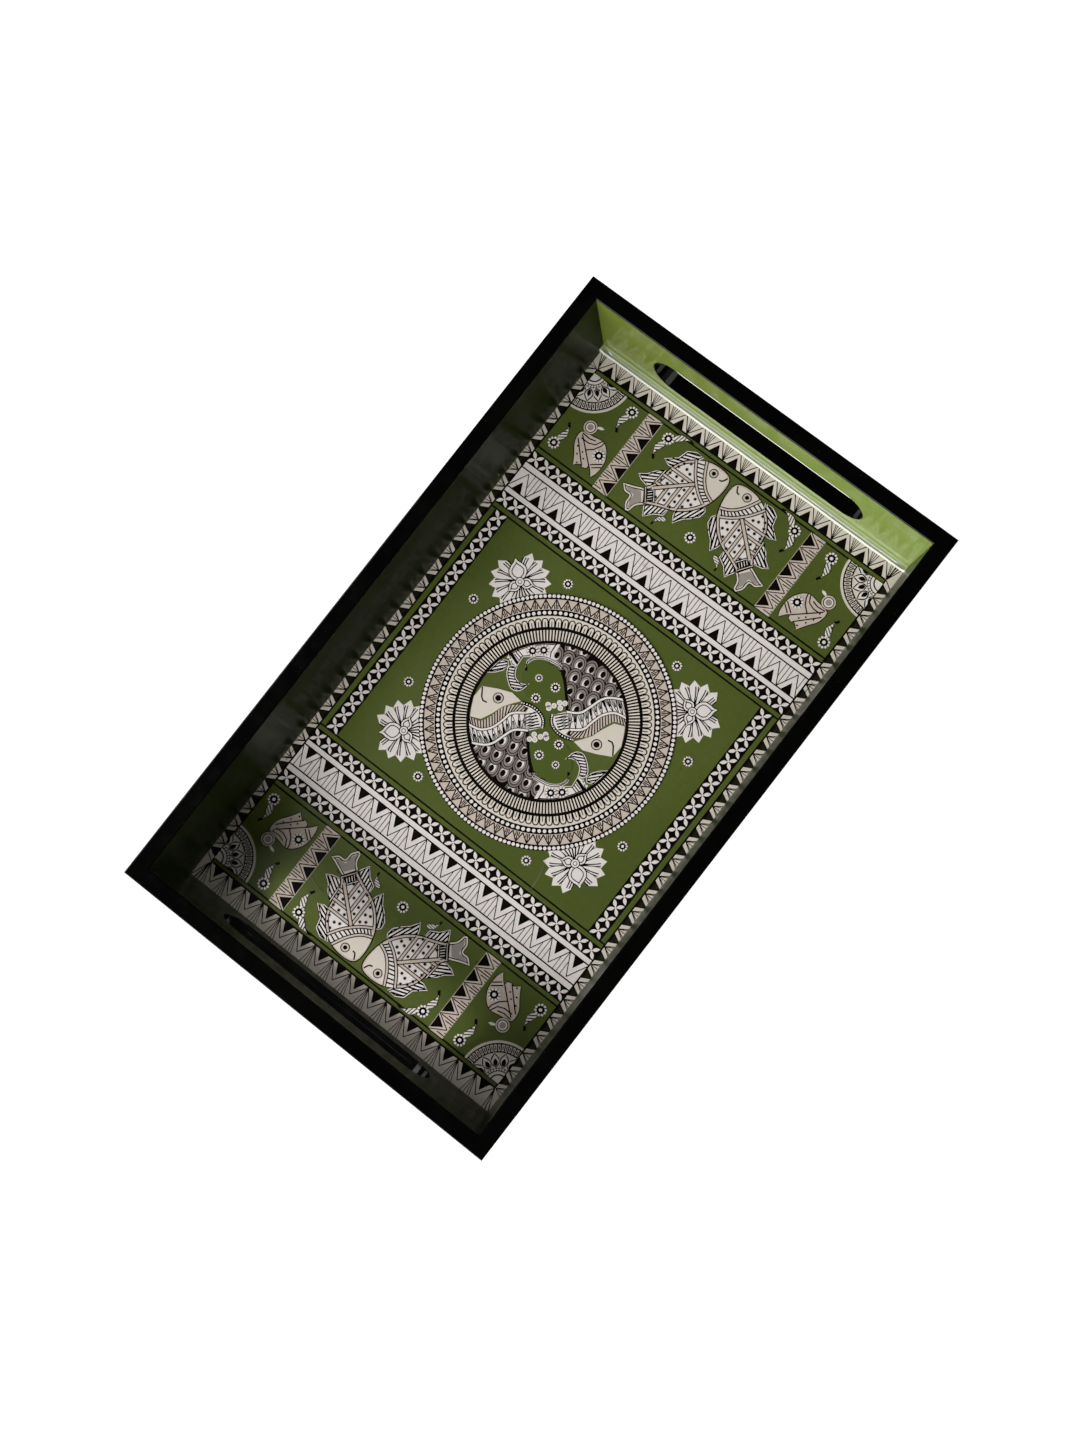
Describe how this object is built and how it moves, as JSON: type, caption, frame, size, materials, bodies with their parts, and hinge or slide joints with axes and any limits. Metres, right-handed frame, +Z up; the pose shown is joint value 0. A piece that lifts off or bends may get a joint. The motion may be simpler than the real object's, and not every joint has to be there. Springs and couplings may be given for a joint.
{
  "type": "serving tray",
  "caption": "Rectangular serving tray with flared mitred walls, a hand slot in each end and a patterned floor sheet under gloss resin.",
  "frame": {"origin": "on the table, under the middle of the tray", "axes": "+X to the right across the tray, +Y along the tray towards the far hand slot, +Z up"},
  "size_m": [0.229, 0.384, 0.0608],
  "materials": {
    "black_lacquer": "gloss black enamel on mdf",
    "green_lacquer": "gloss olive green enamel on mdf",
    "green_print": "printed sheet under clear resin",
    "cream_print": "printed cream under clear resin",
    "dark_print": "printed brown black under clear resin",
    "clear_resin": "high gloss resin fillet",
    "brad_steel": "plain steel",
    "pad_felt": "pressed felt"
  },
  "bodies": {
    "root": {"base_board": "black_lacquer", "art_print": "green_print", "resin_cove": "clear_resin", "side_wall_left": "black_lacquer", "side_wall_right": "black_lacquer", "handle_wall_far": "black_lacquer", "handle_wall_near": "black_lacquer", "corner_brads_far_left": "brad_steel", "corner_brads_far_right": "brad_steel", "corner_brads_near_left": "brad_steel", "corner_brads_near_right": "brad_steel", "base_brads_left": "brad_steel", "base_brads_right": "brad_steel", "base_brads_far": "brad_steel", "base_brads_near": "brad_steel", "felt_pad_far_left": "pad_felt", "felt_pad_far_right": "pad_felt", "felt_pad_near_left": "pad_felt", "felt_pad_near_right": "pad_felt"}
  },
  "joints": []
}
